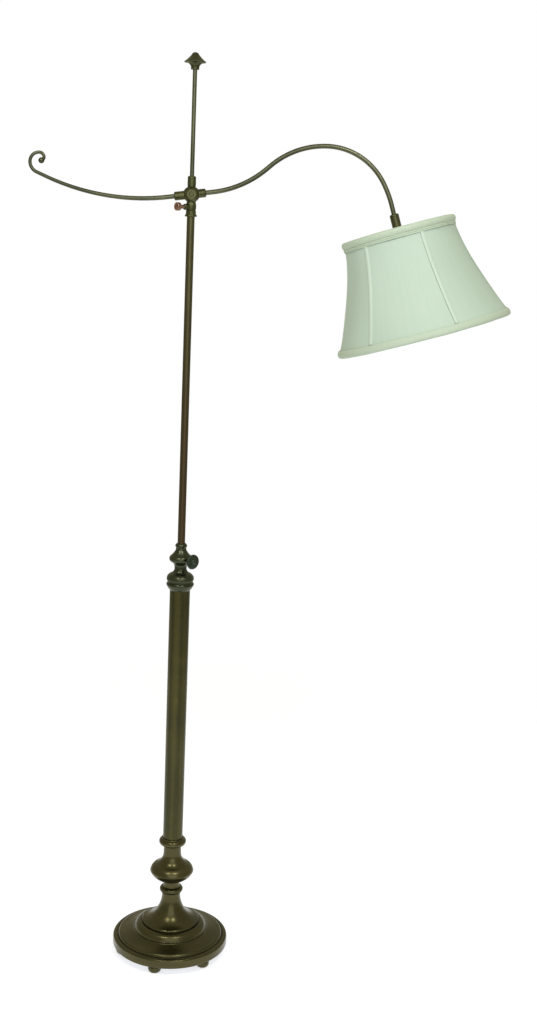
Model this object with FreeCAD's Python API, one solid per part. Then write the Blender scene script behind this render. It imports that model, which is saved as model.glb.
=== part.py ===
import FreeCAD, Part
import os
from math import asin, cos, degrees, pi, radians, sin, tan

# Bridge floor lamp. Millimetres, +Z up, the floor at z = 0.
# The lamp is drawn about its pole. The arms lie in the XZ plane, with the shade on the +X side.
# Each finished piece is then moved so that the frame's origin is the middle of the lamp's floor box.
os.makedirs("parts", exist_ok=True)
V = FreeCAD.Vector
UP = V(0, 0, 1)
POLE_X = -168.0
POLE_Y = 23.0

# ---------------------------------------------------------------- driving dimensions
# fits
RUNNING = 0.05          # radial clearance of a shaft in its bore
SIDE_PLAY = 0.15        # play beside a flat or on a thrust face
SEAT_PLAY = 0.3         # between the ball and the cups that ride on it

# base
FOOT_H = 17.6
FOOT_R = 14.4
FOOT_CIRCLE_R = 107.0
FOOT_COUNT = 6
FIRST_FOOT_AZ = -17.0   # seen from above, from the front (-Y) towards +X
FOOT_SCREW_R = 2.0
BASE_R = 127.0
COVER_PLATE_T = 2.9
WEIGHT_R = 117.0
WEIGHT_TOP_Z = 64.0
SHELL_SEAT_Z = 67.5     # where the trumpet stands on the base
NUT_RECESS_R = 22.0
CORD_Z = 27.0
CORD_HOLE_R = 2.9

# turned pieces of the column
ROD_R = 5.0             # hollow tie rod that pulls the base and the column together
ROD_HOLE_R = 3.2
ROD_CLEAR_R = 5.3
TRUMPET_TOP_Z = 137.5
BEAD_TOP_Z = 151.0
KNOP_TOP_Z = 246.0
COLUMN_SEAT_Z = 262.0
COLUMN_R = 21.6
COLUMN_WALL = 1.6
COLUMN_TOP_Z = 846.0
CAP_TOP_Z = 870.0
COLLAR_TOP_Z = 934.0

# sliding pole
POLE_R = 7.95
POLE_WALL = 1.2
POLE_FOOT_Z = 640.0
POLE_TOP_Z = 1620.5
BUSH_R = 10.4
HEIGHT_SCREW_Z = 901.0
HEIGHT_SCREW_AZ = 40.0
HEIGHT_SCREW_R = 3.0

# swivel head
FERRULE_Z = 1612.6
SWIVEL_Z = 1624.9       # the head turns on this face
SPIGOT_R = 7.0
SPIGOT_TOP_Z = 1636.5
SWIVEL_SCREW_Z = 1631.5
SWIVEL_SCREW_AZ = -55.0
SWIVEL_DOG_R = 2.3
SWIVEL_GROOVE_R = 5.6
STOP_LAND = 30.0        # degrees of the groove that are left in place and stop the swing

# ball and arms
PIVOT_Z = 1656.7
BALL_R = 17.0
ARM_RISE = 8.5          # the shade arm leaves the ball rising by this many degrees
TILT_ROOM = 21.0        # the slot in the ball lets the arms tilt this far each way from square
LUG_HALF_W = 6.0
LUG_HALF_T = 4.0
TILT_SCREW_R = 3.0
SOCKET_R = 8.7
LEFT_SOCKET = 35.0
RIGHT_SOCKET = 29.5
ARM_R = 4.8
ARM_WALL = 1.2
ARM_SEAT = 19.0         # the arms are pressed in from here
TOP_ROD_R = 4.35
TOP_ROD_END_Z = 1905.0
TOP_ROD_IN = 6.3        # the rod ends this far inside the finial
FINIAL_Z = TOP_ROD_END_Z - TOP_ROD_IN

# socket and shade, measured down the lamp holder's axis from the top of the coupling
SHADE_LEAN = 17.0
SHADE_TURN = -4.0       # the gooseneck stands turned this far in the ball, the shade forwards
NECK_IN = 15.0          # the gooseneck stands this far inside the coupling
COUPLING_L = 44.0
SOCKET_SHELL_R = 17.0
SOCKET_CORE_R = 16.2
BULB_CAP_R = 13.2
KEY_AT = 76.0
RIB_COUNT = 6
FIRST_RIB_AZ = 14.0
COVER_T = 0.6
RING_R = 1.6
LINING_IN = COVER_T + 2 * RING_R + 2 * SEAT_PLAY
RIB_R = 1.3
SPOKE_R = 1.5
SPOKE_TURNS = (60, 180, 300)
SHADE_TOP = 33.5
SHADE_BOTTOM = 251.0
PANEL_SAG = 5.0         # how far a stretched panel lies inside the curve of its ribs, at half height
# radius of the cloth over a rib, at each distance down the axis
COVER_LINE = ((SHADE_TOP, 114.0), (58.0, 115.6), (83.3, 120.2), (114.0, 128.0), (138.4, 135.7),
              (180.0, 150.6), (221.0, 166.4), (SHADE_BOTTOM, 179.6))
SHADE_STATIONS = 12


# ---------------------------------------------------------------- tools
def arc(here, middle, there):
    """An arc through three points. One that meets the axis belongs to a sphere, so its middle
    point is moved onto the circle whose centre lies exactly on the axis."""
    for pole, rim in ((here, there), (there, here)):
        if pole.x == 0:
            rise = pole.z - rim.z
            centre = V(0, 0, pole.z - (rim.x ** 2 + rise ** 2) / (2 * rise))
            middle = centre + (middle - centre).normalize() * centre.distanceToPoint(pole)
    return Part.Arc(here, middle, there).toShape()


def meridian(corners):
    """A face in the XZ plane from (r, z) corners. A corner written as ((r, z), (r, z)) is reached
    by an arc through its first point."""
    def at(corner):
        return V(corner[0], 0, corner[1])
    here = at(corners[0])
    edges = []
    for corner in list(corners[1:]) + [corners[0]]:
        if isinstance(corner[0], tuple):
            there = at(corner[1])
            edges.append(arc(here, at(corner[0]), there))
        else:
            there = at(corner)
            edges.append(Part.makeLine(here, there))
        here = there
    return Part.Face(Part.Wire(edges))


def turned(*corners):
    """A lathe-turned solid about Z."""
    return meridian(corners).revolve(V(0, 0, 0), UP, 360)


def cylinder(radius, length, base=(0, 0, 0), along=(0, 0, 1)):
    return Part.makeCylinder(radius, length, V(*base), V(*along))


def about_pole(angle, shape):
    """A copy of the shape, turned about the pole."""
    copy = shape.copy()
    copy.rotate(V(0, 0, 0), UP, angle)
    return copy


def outwards(shape, height, azimuth):
    """A shape drawn up Z, laid down so that it points out from the pole at this height."""
    copy = shape.copy()
    copy.rotate(V(0, 0, 0), V(1, 0, 0), 90)
    copy.rotate(V(0, 0, 0), UP, azimuth)
    copy.translate(V(0, 0, height))
    return copy


def bent_line(start, heading, *runs):
    """The centre line of a rod bent in the arms' plane, with its end point and end heading.
    A run is (length,) for a straight or (radius, turn) for a bend, turning left when positive."""
    edges = []
    here = start
    angle = radians(heading)
    for run in runs:
        if len(run) == 1:
            there = here + V(cos(angle), 0, sin(angle)) * run[0]
            edges.append(Part.makeLine(here, there))
        else:
            radius = run[0] if run[1] > 0 else -run[0]
            centre = here + V(-sin(angle), 0, cos(angle)) * radius
            half = angle + radians(run[1]) / 2
            angle += radians(run[1])
            middle = centre + V(sin(half), 0, -cos(half)) * radius
            there = centre + V(sin(angle), 0, -cos(angle)) * radius
            edges.append(Part.Arc(here, middle, there).toShape())
        here = there
    return Part.Wire(edges), here, degrees(angle)


def rod_on(line, *stations):
    """A rod on a centre line, through circles given as (radius, point, heading)."""
    circles = []
    for radius, point, heading in stations:
        along = V(cos(radians(heading)), 0, sin(radians(heading)))
        circles.append(Part.Wire(Part.makeCircle(radius, point, along)))
    return line.makePipeShell(circles, True, False)


def save(name, *solids):
    """Write one named piece, moved from the pole's axis to the lamp's frame."""
    shape = solids[0] if len(solids) == 1 else Part.makeCompound(list(solids))
    shape = shape.copy()
    shape.translate(V(POLE_X, POLE_Y, 0))
    shape.exportStep("parts/" + name + ".step")


# ---------------------------------------------------------------- feet and base
foot = turned(
    (4.6, 0), (10.5, 0), ((13.6, 3.6), (FOOT_R, 8.6)), ((13.4, 13.2), (10.8, 15.2)),
    (10.8, FOOT_H), (FOOT_SCREW_R + 0.2, FOOT_H), (FOOT_SCREW_R + 0.2, 5.5), (4.6, 5.5))
foot_screw = turned(
    (0, 2.9), (3.4, 2.9), ((4.2, 3.7), (4.2, 5.5)), (FOOT_SCREW_R, 5.5), (FOOT_SCREW_R, 29.0),
    (0, 30.0))
feet = []
foot_screws = []
for number in range(FOOT_COUNT):
    turn = FIRST_FOOT_AZ + number * 360 / FOOT_COUNT
    for piece, pieces in ((foot, feet), (foot_screw, foot_screws)):
        copy = piece.copy()
        copy.translate(V(0, -FOOT_CIRCLE_R, 0))
        pieces.append(about_pole(turn, copy))
save("bun_feet", *feet)
save("foot_screws", *foot_screws)

# The foot screws pass the cover plate and are tapped into the weight.
screw_holes = Part.makeCompound([
    cylinder(FOOT_SCREW_R, 14.0, (screw.BoundBox.Center.x, screw.BoundBox.Center.y, FOOT_H - 1))
    for screw in foot_screws])
# The cord leaves at the back, through a bushing in the rim and a channel under the weight.
cord_way = cylinder(4.5, 12.0, (0, BASE_R - 9, CORD_Z), (0, 1, 0))
weight_z = FOOT_H + COVER_PLATE_T

cover_plate = turned(
    (20.0, FOOT_H), (121.6, FOOT_H), (121.6, weight_z), (20.0, weight_z)).cut(screw_holes)
save("cover_plate", cover_plate)

base_shell = turned(
    (121.6, FOOT_H), (125.4, FOOT_H), ((126.6, 18.6), (BASE_R, 21.0)), (BASE_R, 33.3),
    ((125.9, 36.3), (122.6, 37.7)), (118.8, 38.0), ((117.0, 35.9), (115.6, 37.4)),
    ((114.0, 42.2), (108.3, 44.3)), ((96.0, 46.9), (84.0, 51.0)), ((82.9, 51.3), (81.9, 52.6)),
    (80.3, 53.0), ((80.6, 54.6), (79.2, 55.9)), ((74.8, 63.6), (64.6, 68.2)),
    (63.8, SHELL_SEAT_Z), (ROD_CLEAR_R, SHELL_SEAT_Z), (ROD_CLEAR_R, WEIGHT_TOP_Z), (62.0, WEIGHT_TOP_Z),
    (71.0, 58.6), (76.0, 50.6), (80.0, 47.6), (96.0, 42.8), (109.6, 39.6), (112.0, 33.6),
    (118.6, 33.0), (121.6, 30.0)).cut(cord_way)
save("base_shell", base_shell)

weight = turned(
    (5.6, 30.0), (NUT_RECESS_R, 30.0), (NUT_RECESS_R, weight_z), (WEIGHT_R, weight_z),
    (WEIGHT_R, 31.4), (111.0, 32.0), (108.4, 38.4), (95.0, 41.6), (79.0, 46.4), (70.0, 55.0),
    (61.0, 62.0), (40.0, WEIGHT_TOP_Z), (5.6, WEIGHT_TOP_Z))
channel = Part.makeBox(10, WEIGHT_R, CORD_Z + 5 - weight_z, V(-5, 10, weight_z))
save("base_weight", weight.cut(screw_holes).cut(channel))

bushing = turned(
    (CORD_HOLE_R, 0), (4.5, 0), (4.5, 9.2), (7.0, 9.2), ((7.0, 11.4), (5.4, 12.2)),
    (CORD_HOLE_R, 12.2))
bushing.rotate(V(0, 0, 0), V(1, 0, 0), -90)
bushing.translate(V(0, BASE_R - 9, CORD_Z))
save("cord_bushing", bushing)

# ---------------------------------------------------------------- tie rod and the turned stack
rod_top = COLUMN_SEAT_Z + 34
save("tie_rod", turned(
    (ROD_HOLE_R, 19.0), (ROD_R, 19.0), (ROD_R, rod_top), (ROD_HOLE_R, rod_top)))
save("tie_washer", turned((ROD_R, 28.0), (15.0, 28.0), (15.0, 30.0), (ROD_R, 30.0)))
corners = [V(9.8, 0, 22.4)]
for corner in range(6):
    corners.append(FreeCAD.Rotation(UP, 60).multVec(corners[-1]))
hexagon = Part.Face(Part.makePolygon(corners))
save("tie_nut", hexagon.extrude(V(0, 0, 5.6)).cut(cylinder(ROD_R, 30)))

save("base_trumpet", turned(
    (60.0, SHELL_SEAT_Z), (60.6, SHELL_SEAT_Z), (60.6, 69.4), (62.9, 69.8), (62.9, 72.0),
    (62.0, 73.0), ((41.6, 83.2), (28.4, 100.4)), ((22.9, 113.6), (20.2, 130.0)),
    (20.4, TRUMPET_TOP_Z), (ROD_CLEAR_R, TRUMPET_TOP_Z), (ROD_CLEAR_R, 131.0),
    (17.4, 129.4), ((20.2, 112.6), (25.9, 98.6)), ((39.4, 81.2), (58.0, 71.4))))
save("neck_bead", turned(
    (ROD_CLEAR_R, TRUMPET_TOP_Z), (20.6, TRUMPET_TOP_Z), ((25.8, 144.0), (20.2, 150.4)),
    (19.4, BEAD_TOP_Z), (ROD_CLEAR_R, BEAD_TOP_Z)))
save("lower_knop", turned(
    (ROD_CLEAR_R, BEAD_TOP_Z), (18.6, BEAD_TOP_Z), ((17.6, 159.0), (19.4, 167.6)),
    ((39.0, 175.6), (48.25, 189.0)), ((44.2, 198.4), (36.2, 204.6)), (34.8, 205.2),
    ((24.0, 215.4), (19.5, 232.0)), (19.0, KNOP_TOP_Z), (ROD_CLEAR_R, KNOP_TOP_Z),
    (ROD_CLEAR_R, 240.0), (15.6, 240.0), (16.0, 230.0), ((20.6, 213.0), (31.0, 202.8)),
    ((40.0, 197.2), (44.4, 189.0)), ((36.0, 178.2), (16.0, 170.6)), (14.6, 160.0),
    (ROD_CLEAR_R, 158.0)))
save("column_ring", turned(
    (ROD_CLEAR_R, KNOP_TOP_Z), (19.2, KNOP_TOP_Z), (20.0, 250.0), ((29.9, 257.2), (25.2, 264.8)),
    (24.4, 265.2), ((24.0, 267.0), (22.6, 267.6)), (COLUMN_R, 267.6), (COLUMN_R, COLUMN_SEAT_Z),
    (ROD_CLEAR_R, COLUMN_SEAT_Z)))

column_bore_r = COLUMN_R - COLUMN_WALL
save("column_tube", turned(
    (column_bore_r, COLUMN_SEAT_Z), (COLUMN_R, COLUMN_SEAT_Z), (COLUMN_R, COLUMN_TOP_Z),
    (column_bore_r, COLUMN_TOP_Z)))
save("column_plug", turned(
    (ROD_R, COLUMN_SEAT_Z), (column_bore_r, COLUMN_SEAT_Z), (column_bore_r, 290.0),
    (12.0, 290.0), (12.0, 294.0), (ROD_R, 294.0)))

# ---------------------------------------------------------------- height collar
save("column_cap", turned(
    (COLUMN_R, 832.6), (22.0, 832.6), ((24.4, 835.6), (28.0, 841.6)),
    ((29.4, 844.8), (28.4, 848.2)), (26.8, 849.4), (26.8, 852.4), (28.0, 853.2),
    ((29.1, 858.2), (27.2, 864.0)), ((24.4, 867.0), (19.0, CAP_TOP_Z)), (BUSH_R, CAP_TOP_Z),
    (BUSH_R, 856.0), (9.0, 856.0), (9.0, COLUMN_TOP_Z), (COLUMN_R, COLUMN_TOP_Z)))
height_way = outwards(
    cylinder(HEIGHT_SCREW_R + RUNNING, 40), HEIGHT_SCREW_Z, HEIGHT_SCREW_AZ)
save("height_collar", turned(
    (BUSH_R, CAP_TOP_Z), (18.8, CAP_TOP_Z), ((14.2, 875.0), (13.1, 882.0)),
    ((14.9, 888.8), (20.4, 894.0)), ((24.6, 900.4), (22.6, 906.6)), ((15.0, 914.4), (11.4, 920.4)),
    (10.9, 924.6), (11.6, 926.2), ((12.6, 929.4), (11.2, 932.4)), (9.8, COLLAR_TOP_Z),
    (8.3, COLLAR_TOP_Z), (8.3, 926.6), (BUSH_R, 926.6)).cut(height_way))
save("guide_bush", turned(
    (POLE_R + RUNNING, 856.0), (BUSH_R, 856.0), (BUSH_R, 926.6),
    (POLE_R + RUNNING, 926.6)).cut(height_way))

height_screw = turned(
    (0, POLE_R + SEAT_PLAY), (HEIGHT_SCREW_R - 0.8, POLE_R + SEAT_PLAY),
    (HEIGHT_SCREW_R, POLE_R + SEAT_PLAY + 1), (HEIGHT_SCREW_R, 38.0), (0, 38.0))
save("height_screw", outwards(height_screw, HEIGHT_SCREW_Z, HEIGHT_SCREW_AZ))
height_knob = turned(
    (HEIGHT_SCREW_R, 31.0), (5.4, 31.0), ((6.4, 34.4), (9.0, 36.0)), (14.6, 37.0),
    ((16.0, 39.2), (14.8, 41.6)), ((9.4, 42.6), (5.0, 43.0)), ((2.69, 44.48), (0, 45.0)),
    (0, 38.0), (HEIGHT_SCREW_R, 38.0))
flute = cylinder(1.2, 20, (16.3, 0, 30))
for number in range(24):
    copy = flute.copy()
    copy.rotate(V(0, 0, 0), UP, number * 15)
    height_knob = height_knob.cut(copy)
save("height_knob", outwards(height_knob, HEIGHT_SCREW_Z, HEIGHT_SCREW_AZ))

# ---------------------------------------------------------------- sliding pole
pole_bore_r = POLE_R - POLE_WALL
save("pole_tube", turned(
    (pole_bore_r, POLE_FOOT_Z), (POLE_R, POLE_FOOT_Z), (POLE_R, POLE_TOP_Z),
    (pole_bore_r, POLE_TOP_Z)))
guide_r = column_bore_r - RUNNING
save("pole_guide", turned(
    (POLE_R, POLE_FOOT_Z), (guide_r - 0.8, POLE_FOOT_Z), (guide_r, POLE_FOOT_Z + 0.8),
    (guide_r, POLE_FOOT_Z + 15), (POLE_R, POLE_FOOT_Z + 15)))

ferrule = turned(
    (POLE_R, FERRULE_Z), (9.4, FERRULE_Z), ((11.9, 1613.4), (12.1, 1615.0)),
    ((11.6, 1616.6), (10.2, 1617.2)), (10.3, SWIVEL_Z - 1.2), (9.4, SWIVEL_Z),
    (SPIGOT_R, SWIVEL_Z), (SPIGOT_R, SPIGOT_TOP_Z), (4.2, SPIGOT_TOP_Z), (4.2, POLE_TOP_Z),
    (POLE_R, POLE_TOP_Z))
groove_face = meridian((
    (SWIVEL_GROOVE_R, SWIVEL_SCREW_Z - SWIVEL_DOG_R - 0.3), (SPIGOT_R + 1, SWIVEL_SCREW_Z - 2.6),
    (SPIGOT_R + 1, SWIVEL_SCREW_Z + 2.6), (SWIVEL_GROOVE_R, SWIVEL_SCREW_Z + 2.6)))
groove = groove_face.revolve(V(0, 0, 0), UP, 360 - STOP_LAND)
land_az = SWIVEL_SCREW_AZ + 180
groove = about_pole(land_az - 90 + STOP_LAND / 2, groove)
save("pole_ferrule", ferrule.cut(groove))

# ---------------------------------------------------------------- swivel head
cup_r = BALL_R + SEAT_PLAY
pivot = V(0, 0, PIVOT_Z)


def below_pivot(radius):
    """The height of the lower cup's face at this radius."""
    return PIVOT_Z - cup_r * cos(asin(radius / cup_r))


head_bottom = SWIVEL_Z + SIDE_PLAY
roof_z = SPIGOT_TOP_Z + SIDE_PLAY
head = turned(
    (SPIGOT_R + RUNNING, head_bottom), (9.4, head_bottom), ((10.4, 1632.0), (9.6, 1639.4)),
    (9.4, below_pivot(9.4)), (0, PIVOT_Z), (0, roof_z), (SPIGOT_R + RUNNING, roof_z))
screw_boss = turned((0, 8.5), (6.4, 8.5), (6.0, 16.4), (5.2, 17.2), (0, 17.2))
head = head.fuse(outwards(screw_boss, SWIVEL_SCREW_Z, SWIVEL_SCREW_AZ))
head = head.cut(Part.makeSphere(cup_r, V(0, 0, PIVOT_Z)))
lug_top = PIVOT_Z + 18.0
lug = Part.makeBox(2 * LUG_HALF_W, 2 * LUG_HALF_T, lug_top - roof_z - 1,
                   V(-LUG_HALF_W, -LUG_HALF_T, roof_z + 1))
stud_r = 4.0
head = head.fuse(lug).fuse(cylinder(stud_r, 12, (0, 0, lug_top))).removeSplitter()
head = head.cut(cylinder(TILT_SCREW_R + RUNNING, 20, (0, -10, PIVOT_Z), (0, 1, 0)))
head = head.cut(cylinder(2.6, 12, (0, 0, roof_z - 1)))
head = head.cut(cylinder(2.4, 30, (-15, 0, PIVOT_Z - 8.2), (1, 0, 0)))
swivel_way = outwards(cylinder(3.0 + RUNNING, 24), SWIVEL_SCREW_Z, SWIVEL_SCREW_AZ)
save("swivel_head", head.cut(swivel_way))

swivel_screw = turned(
    (0, SWIVEL_GROOVE_R + SEAT_PLAY), (SWIVEL_DOG_R, SWIVEL_GROOVE_R + SEAT_PLAY),
    (SWIVEL_DOG_R, SPIGOT_R + 0.2), (3.0, SPIGOT_R + 0.9), (3.0, 17.6), (4.0, 18.2), (4.0, 27.0),
    ((5.4, 27.2), (6.4, 28.2)), (8.0, 28.6), (8.25, 29.4), (8.25, 35.4), ((7.6, 36.6), (6.4, 36.8)),
    (5.8, 36.2), (0, 36.2))
slot = Part.makeBox(13, 1.6, 4, V(-6.5, -0.8, 34.6))
slot.rotate(V(0, 0, 0), UP, 25)
save("swivel_screw", outwards(swivel_screw.cut(slot), SWIVEL_SCREW_Z, SWIVEL_SCREW_AZ))

sleeve_top = 1692.8
top_sleeve = turned(
    (0, PIVOT_Z), (8.4, PIVOT_Z + cup_r * cos(asin(8.4 / cup_r))), ((8.6, 1681.0), (8.3, 1687.6)),
    ((7.9, 1691.4), (6.4, sleeve_top)), (TOP_ROD_R, sleeve_top), (TOP_ROD_R, lug_top + 12),
    (stud_r, lug_top + 12), (stud_r, lug_top), (0, lug_top))
top_sleeve = top_sleeve.cut(Part.makeSphere(cup_r, V(0, 0, PIVOT_Z)))
save("top_sleeve", top_sleeve.cut(cylinder(7.4, lug_top - PIVOT_Z, (0, 0, PIVOT_Z))))
save("top_rod", cylinder(TOP_ROD_R, TOP_ROD_END_Z - lug_top - 12, (0, 0, lug_top + 12)))
# Drawn from its own foot, then lifted to its seat on the rod.
finial = turned(
    (TOP_ROD_R, 0), (8.2, 0), (8.2, 1.8), ((8.5, 4.7), (9.3, 7.3)), ((13.2, 11.3), (21.6, 13.5)),
    ((22.0, 14.3), (21.4, 15.1)), ((14.6, 20.7), (8.8, 26.7)), (7.2, 28.7), (6.4, 30.3),
    ((3.49, 32.37), (0, 33.1)), (0, TOP_ROD_IN), (TOP_ROD_R, TOP_ROD_IN))
finial.translate(V(0, 0, FINIAL_Z))
save("finial", finial)

# ---------------------------------------------------------------- ball with its arm sockets
def tilted(shape):
    """A shape drawn square to the pole, raised with the arms about the ball's centre."""
    copy = shape.copy()
    copy.rotate(pivot, V(0, 1, 0), -ARM_RISE)
    return copy


def socket(length, side):
    """One arm socket on the ball: a cylinder with a chamfered mouth."""
    body = turned(
        (0, 5.0), (SOCKET_R, 5.0), (SOCKET_R, length - 1.8), (SOCKET_R - 1.8, length),
        (0, length))
    body.rotate(V(0, 0, 0), V(0, 1, 0), 90 * side)
    body.translate(pivot)
    return body


slot_edge = LUG_HALF_W / cos(radians(TILT_ROOM)) + SIDE_PLAY
slot_reach = 20.0
slot_mouth = slot_edge + slot_reach * tan(radians(TILT_ROOM))
slot_half_t = LUG_HALF_T + SIDE_PLAY
outline = []
for x, z in ((slot_edge, 0), (slot_mouth, slot_reach), (-slot_mouth, slot_reach), (-slot_edge, 0),
             (-slot_mouth, -slot_reach), (slot_mouth, -slot_reach), (slot_edge, 0)):
    outline.append(V(x, -slot_half_t, PIVOT_Z + z))
lug_slot = Part.Face(Part.makePolygon(outline)).extrude(V(0, 2 * slot_half_t, 0))
boss_y = BALL_R + 0.8
ball = Part.makeSphere(BALL_R, pivot)
ball = ball.fuse(socket(LEFT_SOCKET, -1)).fuse(socket(RIGHT_SOCKET, 1))
ball = ball.fuse(cylinder(9.2, 6, (0, -boss_y, PIVOT_Z), (0, 1, 0)))
ball = ball.cut(lug_slot)
ball = ball.cut(cylinder(TILT_SCREW_R + RUNNING, 32, (0, -boss_y, PIVOT_Z), (0, 1, 0)))
ball = ball.cut(cylinder(5.2, 2.4, (0, -boss_y, PIVOT_Z), (0, 1, 0)))
ball = ball.cut(cylinder(ARM_R, LEFT_SOCKET - ARM_SEAT, (-LEFT_SOCKET, 0, PIVOT_Z), (1, 0, 0)))
ball = ball.cut(cylinder(ARM_R, RIGHT_SOCKET - ARM_SEAT, (ARM_SEAT, 0, PIVOT_Z), (1, 0, 0)))
wire_way_r = ARM_R - ARM_WALL
ball = ball.cut(cylinder(wire_way_r, ARM_SEAT, (0, 0, PIVOT_Z), (1, 0, 0)))
save("ball", tilted(ball))

tilt_screw = turned(
    (0, 0), (4.0, 0), ((4.7, 0.4), (4.8, 1.2)), (4.8, 3.0), (TILT_SCREW_R, 3.0),
    (TILT_SCREW_R, 28.0), (0, 28.0))
tilt_screw = tilt_screw.cut(Part.makeBox(12, 1.2, 1.3, V(-6, -0.6, 0)))
tilt_screw.rotate(V(0, 0, 0), UP, 40)
tilt_screw.rotate(V(0, 0, 0), V(1, 0, 0), -90)
tilt_screw.translate(V(0, -boss_y - 0.7, PIVOT_Z))
save("tilt_screw", tilt_screw)

# ---------------------------------------------------------------- arms
left_heading = 180 + ARM_RISE
left = V(cos(radians(left_heading)), 0, sin(radians(left_heading)))
left_start = pivot + left * ARM_SEAT
scroll_line, scroll_end, scroll_heading = bent_line(
    left_start, left_heading,
    (48.5 - ARM_SEAT,), (457.9, -31.0), (21.0,), (22.0, -67.5), (18.4, -90), (9.4, -90),
    (6.4, -80))
scroll_tip_r = 3.2
scroll = rod_on(
    scroll_line, (ARM_R, left_start, left_heading), (scroll_tip_r, scroll_end, scroll_heading))
save("scroll_arm", scroll.fuse(Part.makeSphere(6.0, scroll_end)))

right = V(cos(radians(ARM_RISE)), 0, sin(radians(ARM_RISE)))
right_start = pivot + right * ARM_SEAT
neck_line, neck_end, neck_heading = bent_line(
    right_start, ARM_RISE,
    (43.6 - ARM_SEAT,), (207.7, 41.4 - ARM_RISE), (12.1,), (170.8, -41.4), (134.2, -60.0),
    (214.5, SHADE_LEAN - 30), (18.2 + NECK_IN,))
neck = rod_on(neck_line, (ARM_R, right_start, ARM_RISE), (ARM_R, neck_end, neck_heading))
neck_hole = rod_on(
    neck_line, (wire_way_r, right_start, ARM_RISE), (wire_way_r, neck_end, neck_heading))


def in_ball(shape):
    """The gooseneck and what hangs on it, turned in the ball about the arm's own axis."""
    copy = shape.copy()
    copy.rotate(pivot, right, SHADE_TURN)
    return copy


save("gooseneck", in_ball(neck.cut(neck_hole)))

# ---------------------------------------------------------------- lamp holder
neck_way = V(cos(radians(neck_heading)), 0, sin(radians(neck_heading)))
holder_top = neck_end - neck_way * NECK_IN


def hung(shape):
    """A shape drawn with its axis down -Z from the origin, leaned and hung from the gooseneck."""
    copy = shape.copy()
    copy.rotate(V(0, 0, 0), V(0, 1, 0), -SHADE_LEAN)
    copy.translate(holder_top)
    return in_ball(copy)


def hung_turned(*corners):
    """A turned solid drawn from corners of (r, distance down the holder's axis)."""
    downwards = []
    for corner in corners:
        if isinstance(corner[0], tuple):
            downwards.append(tuple((r, -down) for r, down in corner))
        else:
            downwards.append((corner[0], -corner[1]))
    return turned(*downwards)


nipple_r = 5.0
save("coupling", hung(hung_turned(
    (ARM_R, 0), (6.2, 0), ((8.6, 1.2), (9.4, 4.6)), (9.4, COUPLING_L), (nipple_r, COUPLING_L),
    (nipple_r, NECK_IN), (ARM_R, NECK_IN))))
save("holder_nipple", hung(hung_turned(
    (3.4, NECK_IN + 5), (nipple_r, NECK_IN + 5), (nipple_r, COUPLING_L + 5),
    (3.4, COUPLING_L + 5))))
shell_at = COUPLING_L + 18
save("socket_cap", hung(hung_turned(
    (nipple_r, COUPLING_L), (10.5, COUPLING_L), ((15.6, 48.4), (SOCKET_SHELL_R, 56.0)),
    (SOCKET_SHELL_R, shell_at), (SOCKET_CORE_R, shell_at), (SOCKET_CORE_R, 56.4),
    ((14.8, 49.6), (10.0, 45.6)), (nipple_r, 45.6))))

key_way = cylinder(2.4 + RUNNING, 12.0, (8.0, 0, -KEY_AT), (1, 0, 0))
fitter_at = 96.0
fitter_t = 2.5
mouth_at = 108.0
cap_floor = 84.0
save("socket_shell", hung(hung_turned(
    (SOCKET_CORE_R, shell_at), (SOCKET_SHELL_R, shell_at), (SOCKET_SHELL_R, 92.8), (20.0, 93.6),
    (20.0, fitter_at), (SOCKET_SHELL_R, fitter_at), (SOCKET_SHELL_R, mouth_at),
    (SOCKET_CORE_R, mouth_at)).cut(key_way)))
core = hung_turned(
    (0, shell_at + 1), (SOCKET_CORE_R, shell_at + 1), (SOCKET_CORE_R, mouth_at),
    (BULB_CAP_R + RUNNING, mouth_at), (BULB_CAP_R + RUNNING, cap_floor), (0, cap_floor))
for side in (-6.5, 6.5):
    core = core.cut(cylinder(1.5, 8.0, (0, side, -shell_at - 9)))
save("socket_core", hung(core.cut(key_way)))

key = cylinder(2.4, 18.0, (8.3, 0, -KEY_AT), (1, 0, 0))
key = key.fuse(cylinder(3.6, 3.0, (18.0, 0, -KEY_AT), (1, 0, 0)))
paddle = cylinder(7.0, 3.0, (30.0, -1.5, -KEY_AT), (0, 1, 0))
save("switch_key", hung(key.fuse(paddle).removeSplitter()))

save("bulb_cap", hung(hung_turned(
    (0, cap_floor + 0.2), (4.4, cap_floor + 0.2), (6.0, 86.4), (12.4, 87.8), (BULB_CAP_R, 89.0),
    (BULB_CAP_R, 107.0), (0, 107.0))))
bulb_r = 30.0
bulb_at = 167.5
glass_t = 0.8
save("bulb_glass", hung(hung_turned(
    (12.6, 107.0), (13.6, 112.0), ((16.6, 130.0), (24.58, 150.3)),
    ((bulb_r, bulb_at), (0, bulb_at + bulb_r)), (0, bulb_at + bulb_r - glass_t),
    ((bulb_r - glass_t, bulb_at), (23.93, 150.76)), ((15.8, 130.4), (12.8, 112.4)),
    (11.8, 107.0))))

# ---------------------------------------------------------------- shade frame
fitter_out_r = 23.0
fitter = hung_turned(
    (SOCKET_SHELL_R + RUNNING, fitter_at), (fitter_out_r, fitter_at),
    (fitter_out_r, fitter_at + fitter_t), (SOCKET_SHELL_R + RUNNING, fitter_at + fitter_t))
save("fitter_ring", hung(fitter))
nut = hung_turned(
    (SOCKET_SHELL_R, fitter_at + fitter_t), (22.4, fitter_at + fitter_t), (22.4, 105.0),
    (20.6, 107.0), (SOCKET_SHELL_R, 107.0))
for number in range(16):
    flute = cylinder(1.1, 9.0, (22.9, 0, -107.5))
    nut = nut.cut(about_pole(number * 360 / 16, flute))
save("shade_ring_nut", hung(nut))

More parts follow.
